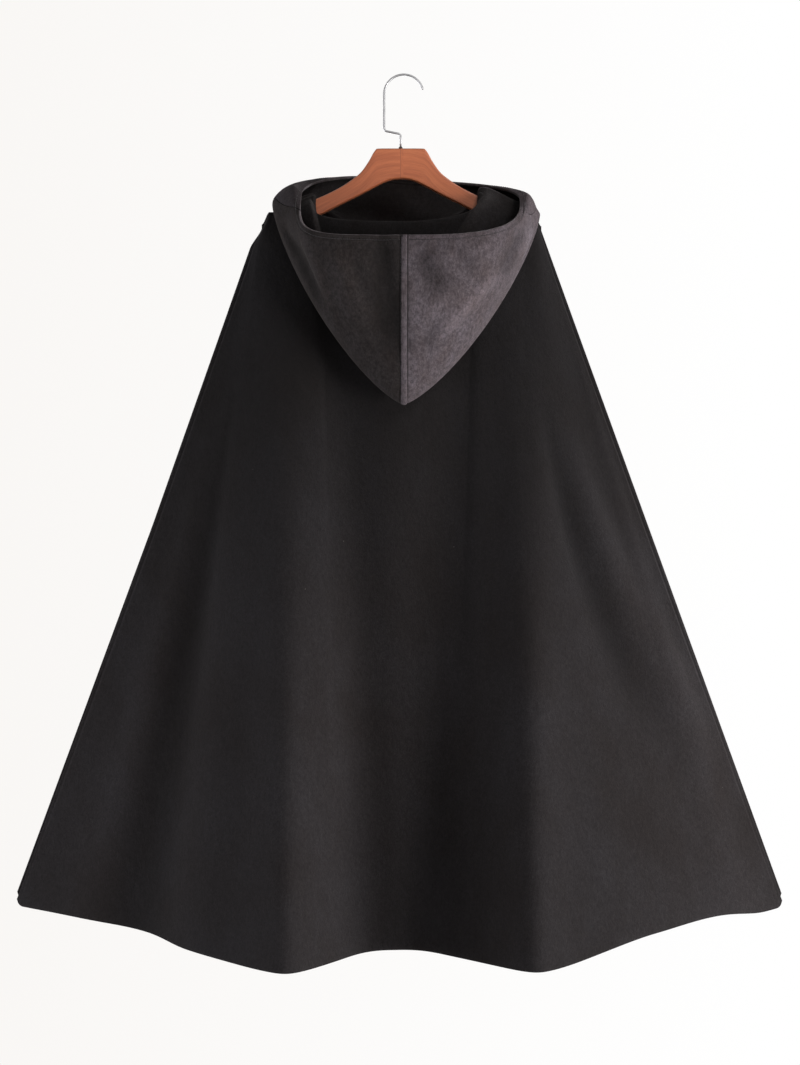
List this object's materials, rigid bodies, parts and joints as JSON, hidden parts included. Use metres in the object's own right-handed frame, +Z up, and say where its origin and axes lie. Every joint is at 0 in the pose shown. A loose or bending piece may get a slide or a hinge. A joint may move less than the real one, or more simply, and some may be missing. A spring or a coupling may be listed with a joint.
{
  "type": "hooded poncho on a wooden hanger",
  "caption": "Hooded poncho of napped wool with a pointed hood and a wide flared hem, hanging from a shaped wooden hanger by its wire hook.",
  "frame": {"origin": "the inside top of the hanger's hook, where a rail carries it", "axes": "+Z up, +Y the way the wearer faces, +X the wearer's right"},
  "size_m": [1.0409, 0.2828, 1.1847],
  "materials": {
    "poncho_cloth": "charcoal napped wool, nap down",
    "hood_cloth": "the same charcoal wool with its nap brushed up, so it looks lighter",
    "hanger_wood": "reddish brown satin varnish",
    "hook_steel": "polished wire"
  },
  "bodies": {
    "root": {"back_panel": "poncho_cloth", "front_panel": "poncho_cloth", "hood_left": "hood_cloth", "hood_right": "hood_cloth", "hood_front": "hood_cloth", "hanger_wood": "hanger_wood", "hanger_hook": "hook_steel"}
  },
  "joints": []
}
